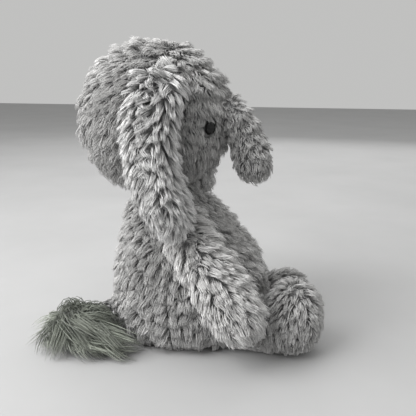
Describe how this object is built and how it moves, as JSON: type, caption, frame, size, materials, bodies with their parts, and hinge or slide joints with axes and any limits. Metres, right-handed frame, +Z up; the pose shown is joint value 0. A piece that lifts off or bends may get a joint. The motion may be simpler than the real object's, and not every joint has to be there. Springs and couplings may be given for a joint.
{
  "type": "plush elephant",
  "caption": "Seated shaggy plush elephant with floppy two-layer ears, a hanging trunk, bead eyes, soft stump limbs and a tufted cord tail, weighted in the seat.",
  "frame": {"origin": "centre of the flat seat, on the surface that the toy sits on", "axes": "+Z up; the face looks along -Y, so +Y points out of the back; the toy's right side is -X"},
  "size_m": [0.1722, 0.2091, 0.2247],
  "materials": {
    "plush": "shaggy wavy pile",
    "lining": "short smooth pile",
    "tuft": "long silky strands",
    "fibre": "loose polyester fibre",
    "pouch_cloth": "thin woven cloth",
    "pellets": "small plastic beads",
    "bead": "polished",
    "washer": "moulded",
    "thread": "strong sewing thread"
  },
  "bodies": {
    "torso": {"torso_cover": "plush", "pellet_pouch": "pouch_cloth", "seat_pellets": "pellets", "torso_filling": "fibre"},
    "neck": {"neck_stitching": "thread"},
    "head": {"head_cover": "plush", "head_filling": "fibre", "right_eye": "bead", "left_eye": "bead", "right_eye_washer": "washer", "left_eye_washer": "washer"},
    "trunk": {"trunk_cover": "plush", "trunk_filling": "fibre"},
    "right_ear": {"right_ear_outer": "plush", "right_ear_lining": "lining"},
    "left_ear": {"left_ear_outer": "plush", "left_ear_lining": "lining"},
    "right_arm": {"right_arm_cover": "plush", "right_arm_filling": "fibre"},
    "left_arm": {"left_arm_cover": "plush", "left_arm_filling": "fibre"},
    "right_leg": {"right_leg_cover": "plush", "right_leg_filling": "fibre"},
    "left_leg": {"left_leg_cover": "plush", "left_leg_filling": "fibre"},
    "tail": {"tail_cord": "plush"},
    "tuft": {"tail_tuft": "tuft"}
  },
  "joints": [
    {"name": "head_turn", "type": "hinge", "parent": "torso", "child": "neck", "pos_m": [0, 0.017, 0.117], "axis": [0, 0, 1], "range_deg": [-10, 10], "stiffness_Nm_per_rad": 0.3},
    {"name": "head_nod", "type": "hinge", "parent": "neck", "child": "head", "pos_m": [0, 0.017, 0.117], "axis": [1, 0, 0], "range_deg": [-6, 6], "stiffness_Nm_per_rad": 0.6},
    {"name": "trunk_lift", "type": "hinge", "parent": "head", "child": "trunk", "pos_m": [0, -0.026, 0.18], "axis": [-1, 0, 0], "range_deg": [0, 45]},
    {"name": "right_ear_flap", "type": "hinge", "parent": "head", "child": "right_ear", "pos_m": [-0.047, 0.003, 0.203], "axis": [0, 1, 0], "range_deg": [0, 60]},
    {"name": "left_ear_flap", "type": "hinge", "parent": "head", "child": "left_ear", "pos_m": [0.047, 0.003, 0.203], "axis": [0, -1, 0], "range_deg": [0, 60]},
    {"name": "right_arm_lift", "type": "hinge", "parent": "torso", "child": "right_arm", "pos_m": [-0.033, -0.004, 0.092], "axis": [-1, 0, 0], "range_deg": [0, 30]},
    {"name": "left_arm_lift", "type": "hinge", "parent": "torso", "child": "left_arm", "pos_m": [0.033, -0.004, 0.092], "axis": [-1, 0, 0], "range_deg": [0, 30]},
    {"name": "right_leg_lift", "type": "hinge", "parent": "torso", "child": "right_leg", "pos_m": [-0.027, -0.045, 0.019], "axis": [-1, 0, 0], "range_deg": [0, 18]},
    {"name": "left_leg_lift", "type": "hinge", "parent": "torso", "child": "left_leg", "pos_m": [0.027, -0.045, 0.019], "axis": [-1, 0, 0], "range_deg": [0, 18]},
    {"name": "tail_swing", "type": "hinge", "parent": "torso", "child": "tail", "pos_m": [-0.003, 0.066, 0.013], "axis": [0, 0, -1], "range_deg": [0, 50]},
    {"name": "tuft_lift", "type": "hinge", "parent": "tail", "child": "tuft", "pos_m": [-0.033, 0.076, 0.011], "axis": [0, 1, 0], "range_deg": [0, 30]}
  ]
}
